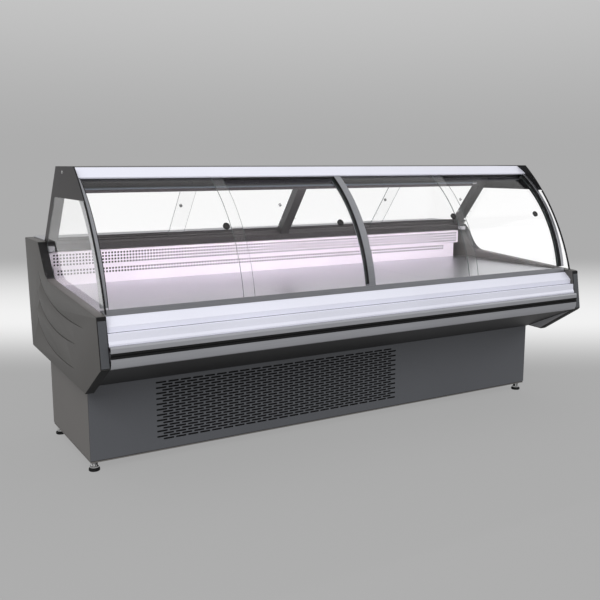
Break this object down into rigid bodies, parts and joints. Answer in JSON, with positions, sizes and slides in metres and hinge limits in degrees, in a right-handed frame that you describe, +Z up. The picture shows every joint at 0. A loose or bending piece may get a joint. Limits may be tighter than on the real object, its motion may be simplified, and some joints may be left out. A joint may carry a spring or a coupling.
{
  "type": "refrigerated deli case",
  "caption": "Serve-over refrigerated deli case with curved sliding front glass, glazed canopy, display deck, worktop and grilled plinth.",
  "frame": {"origin": "on the floor, under the middle of the case's bounding box", "axes": "+X along the counter to the customer's right, -Y towards the customer, +Y towards the staff, +Z up"},
  "size_m": [2.5, 1.15, 1.231],
  "materials": {
    "end_abs": "dark warm grey moulded ABS, fine grain",
    "front_steel": "dark blue-grey powder coat",
    "side_steel": "warm grey powder coat",
    "white_steel": "white satin coat",
    "duct_steel": "white coated perforated sheet",
    "foam_tub": "white steel-skinned foam",
    "aluminium": "grey anodised extrusion",
    "rubber": "black",
    "black_steel": "black coat",
    "stainless": "brushed stainless steel",
    "canopy_dark": "dark grey coated aluminium",
    "glass": "clear tempered glass",
    "lamp_cover": "opal lamp cover",
    "fins": "bare aluminium fins",
    "fan_plastic": "black moulded plastic",
    "compressor_enamel": "black enamel",
    "chrome": "zinc-plated steel stem on a black pad"
  },
  "bodies": {
    "cabinet": {"base_front_panel": "front_steel", "base_left_panel": "side_steel", "base_right_panel": "side_steel", "base_rear_panel": "side_steel", "rear_panel": "side_steel", "chassis_pan": "black_steel", "condenser_shroud": "black_steel", "underside_panel": "black_steel", "foot_front_left": "chrome", "foot_front_right": "chrome", "foot_rear_left": "chrome", "foot_rear_right": "chrome", "compressor": "compressor_enamel", "condenser_coil": "fins", "evaporator_coil": "fins", "controller": "fan_plastic", "insulated_tub": "foam_tub", "worktop": "stainless", "left_end_panel": "end_abs", "right_end_panel": "end_abs", "front_fascia": "white_steel", "canopy_fascia": "white_steel", "bumper_rail": "aluminium", "front_track": "aluminium", "front_mullion": "aluminium", "arc_trim_left": "aluminium", "arc_trim_right": "aluminium", "bumper_strip": "rubber", "canopy_roof": "canopy_dark", "canopy_side_left": "canopy_dark", "canopy_side_right": "canopy_dark", "rear_sill": "canopy_dark", "rear_post_left": "canopy_dark", "rear_post_middle": "canopy_dark", "rear_post_right": "canopy_dark", "duct_upper": "duct_steel", "duct_lower": "duct_steel", "evaporator_fan_plate": "duct_steel", "canopy_lamp": "lamp_cover", "end_glass_left": "glass", "end_glass_right": "glass"},
    "front_door_1": {"front_pane_1": "glass", "front_pull_1": "rubber"},
    "front_door_2": {"front_pane_2": "glass", "front_pull_2": "rubber"},
    "front_door_3": {"front_pane_3": "glass", "front_pull_3": "rubber"},
    "front_door_4": {"front_pane_4": "glass", "front_pull_4": "rubber"},
    "rear_door_1": {"rear_pane_1": "glass"},
    "rear_door_2": {"rear_pane_2": "glass"},
    "rear_door_3": {"rear_pane_3": "glass"},
    "rear_door_4": {"rear_pane_4": "glass"},
    "deck_left": {"deck_plate_left": "stainless"},
    "deck_middle": {"deck_plate_middle": "stainless"},
    "deck_right": {"deck_plate_right": "stainless"},
    "condenser_fan_rotor": {"condenser_fan": "fan_plastic"},
    "chill_fan_left": {"evaporator_fan_left": "fan_plastic"},
    "chill_fan_right": {"evaporator_fan_right": "fan_plastic"},
    "switch_rocker": {"light_switch": "rubber"}
  },
  "joints": [
    {"name": "front_door_1_slide", "type": "slide", "parent": "cabinet", "child": "front_door_1", "axis": [1, 0, 0], "range_m": [0, 0.56]},
    {"name": "front_door_2_slide", "type": "slide", "parent": "cabinet", "child": "front_door_2", "axis": [1, 0, 0], "range_m": [-0.56, 0]},
    {"name": "front_door_3_slide", "type": "slide", "parent": "cabinet", "child": "front_door_3", "axis": [1, 0, 0], "range_m": [0, 0.56]},
    {"name": "front_door_4_slide", "type": "slide", "parent": "cabinet", "child": "front_door_4", "axis": [1, 0, 0], "range_m": [-0.56, 0]},
    {"name": "rear_door_1_slide", "type": "slide", "parent": "cabinet", "child": "rear_door_1", "axis": [1, 0, 0], "range_m": [0, 0.525]},
    {"name": "rear_door_2_slide", "type": "slide", "parent": "cabinet", "child": "rear_door_2", "axis": [1, 0, 0], "range_m": [-0.525, 0]},
    {"name": "rear_door_3_slide", "type": "slide", "parent": "cabinet", "child": "rear_door_3", "axis": [1, 0, 0], "range_m": [0, 0.525]},
    {"name": "rear_door_4_slide", "type": "slide", "parent": "cabinet", "child": "rear_door_4", "axis": [1, 0, 0], "range_m": [-0.525, 0]},
    {"name": "deck_left_lift", "type": "slide", "parent": "cabinet", "child": "deck_left", "axis": [0, 0, 1], "range_m": [0, 0.075]},
    {"name": "deck_middle_lift", "type": "slide", "parent": "cabinet", "child": "deck_middle", "axis": [0, 0, 1], "range_m": [0, 0.075]},
    {"name": "deck_right_lift", "type": "slide", "parent": "cabinet", "child": "deck_right", "axis": [0, 0, 1], "range_m": [0, 0.075]},
    {"name": "condenser_fan_spin", "type": "hinge", "parent": "cabinet", "child": "condenser_fan_rotor", "pos_m": [-0.3, -0.1377, 0.1728], "axis": [0, 1, 0], "continuous": true},
    {"name": "chill_fan_left_spin", "type": "hinge", "parent": "cabinet", "child": "chill_fan_left", "pos_m": [-0.42, -0.0285, 0.5311], "axis": [0, 1, 0], "continuous": true},
    {"name": "chill_fan_right_spin", "type": "hinge", "parent": "cabinet", "child": "chill_fan_right", "pos_m": [0.42, -0.0285, 0.5311], "axis": [0, 1, 0], "continuous": true},
    {"name": "light_switch_rock", "type": "hinge", "parent": "cabinet", "child": "switch_rocker", "pos_m": [0.932, 0.3773, 0.343], "axis": [1, 0, 0], "range_deg": [-8, 8]}
  ]
}
